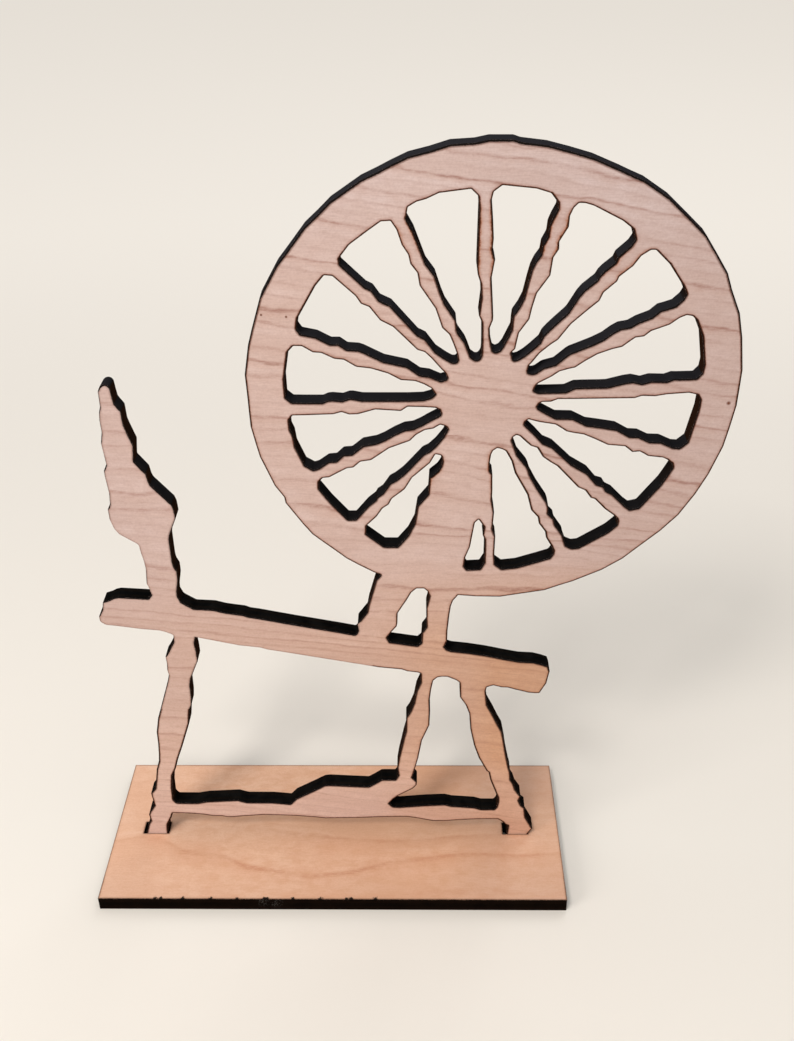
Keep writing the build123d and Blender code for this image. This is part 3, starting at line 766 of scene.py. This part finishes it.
# where crumbs are missing from the front edge, and where ash lies below it
nick_stations = (-82.3, -79.8, -69.5, -56.2, -44.0, -31.6, -30.2, -18.0, -5.2, 7.0, 9.0, 20.2)
nick_places = [(x, base_front + 0.2, base_top) for x in nick_stations]
base_face = veneer("base_veneer", "x", "y", 31.0, base_tones, 0.15, (0.90, 0.83, 0.76, 1), (0.16, 0.04),
                   nicks=nick_places)
ash_places = [(-32.0, base_front, 5.2), (-26.0, base_front, 4.7)]
base_char = (srgb(8, 4, 2), srgb(15, 8, 4), srgb(28, 14, 8), srgb(36, 23, 15))
base_wall = charred("base_char", "z", 0.0, base_thickness / UNIT, 23.0, base_char, 0.01, ash=ash_places)
base_plate.data.materials.append(base_face)
base_plate.data.materials.append(base_wall)
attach(base_plate, "base")
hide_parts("base_plate")

# ---- floor ----
FLOOR_REACH = 9
floor_corners = [(a * FLOOR_REACH, b * FLOOR_REACH, 0) for a, b in ((-1, -1), (1, -1), (1, 1), (-1, 1))]
floor_mesh = bpy.data.meshes.new("floor")
floor_mesh.from_pydata(floor_corners, [], [(0, 1, 2, 3)])
floor = placed("floor", floor_mesh)


def pale_floor():
    """A matt pale floor that fades with distance into the paper behind it."""
    w = Wiring("floor_pale")
    w.shader.inputs["Base Color"].default_value = (0.89, 0.83, 0.75, 1)
    w.shader.inputs["Roughness"].default_value = 0.9
    w.shader.inputs["Specular IOR Level"].default_value = 0.1
    rays = w.node("ShaderNodeLightPath").outputs
    seen = w.math("MAXIMUM", rays["Is Camera Ray"], rays["Is Glossy Ray"])
    glow = w.node("ShaderNodeEmission", {"Color": (0.94, 0.88, 0.80, 1), "Strength": 1.0}).outputs[0]
    spot = w.node("ShaderNodeTexCoord").outputs["Object"]
    away = w.vector("LENGTH", w.vector("MULTIPLY", spot, (0.55, 1, 1)))
    veil = w.times(seen, w.ease(away, 0.06, 0.9, 0.0, 0.75))
    both = w.node("ShaderNodeMixShader", {0: veil, 1: w.shader.outputs[0], 2: glow}).outputs[0]
    w.tree.links.new(both, w.tree.nodes["Material Output"].inputs["Surface"])
    return w.material


floor_mesh.materials.append(pale_floor())


# ---- light ----
def lamp(name, position, target, size, power, colour):
    """A soft square lamp that faces a target."""
    data = bpy.data.lights.new(name, "AREA")
    data.size = size
    data.energy = power
    data.color = colour
    made = placed(name, data)
    made.location = position
    made.rotation_euler = (Vector(target) - Vector(position)).to_track_quat("-Z", "Y").to_euler()


lamp("key", (-0.43, -0.875, 1.40), (0.03, 0, 0.15), 0.32, 9.3, (1.0, 0.975, 0.95))
lamp("left", (-0.96, -0.77, 0.50), (0.03, 0, 0.18), 0.58, 7.5, (1.0, 0.97, 0.94))
lamp("ceiling", (0.10, -0.12, 2.30), (0.03, 0, 0.10), 2.0, 15.6, (1.0, 0.99, 0.97))
lamp("window", (0.50, 1.0, 1.25), (0.03, 0, 0.10), 0.8, 4.4, (0.93, 0.96, 1.0))

# The room's even light, and the pale paper that the camera sees behind the object.
world = bpy.data.worlds.new("world")
bpy.context.scene.world = world
world.use_nodes = True
wires = world.node_tree
background = wires.nodes["Background"]
background.inputs[0].default_value = (0.98, 0.99, 1.0, 1)
background.inputs[1].default_value = 0.28
paper = wires.nodes.new("ShaderNodeBackground")
paper.inputs[0].default_value = (0.78, 0.735, 0.66, 1)
ray = wires.nodes.new("ShaderNodeLightPath")
world_mix = wires.nodes.new("ShaderNodeMixShader")
wires.links.new(ray.outputs["Is Camera Ray"], world_mix.inputs[0])
wires.links.new(background.outputs[0], world_mix.inputs[1])
wires.links.new(paper.outputs[0], world_mix.inputs[2])
wires.links.new(world_mix.outputs[0], wires.nodes["World Output"].inputs["Surface"])

bpy.context.scene.view_settings.view_transform = "Standard"
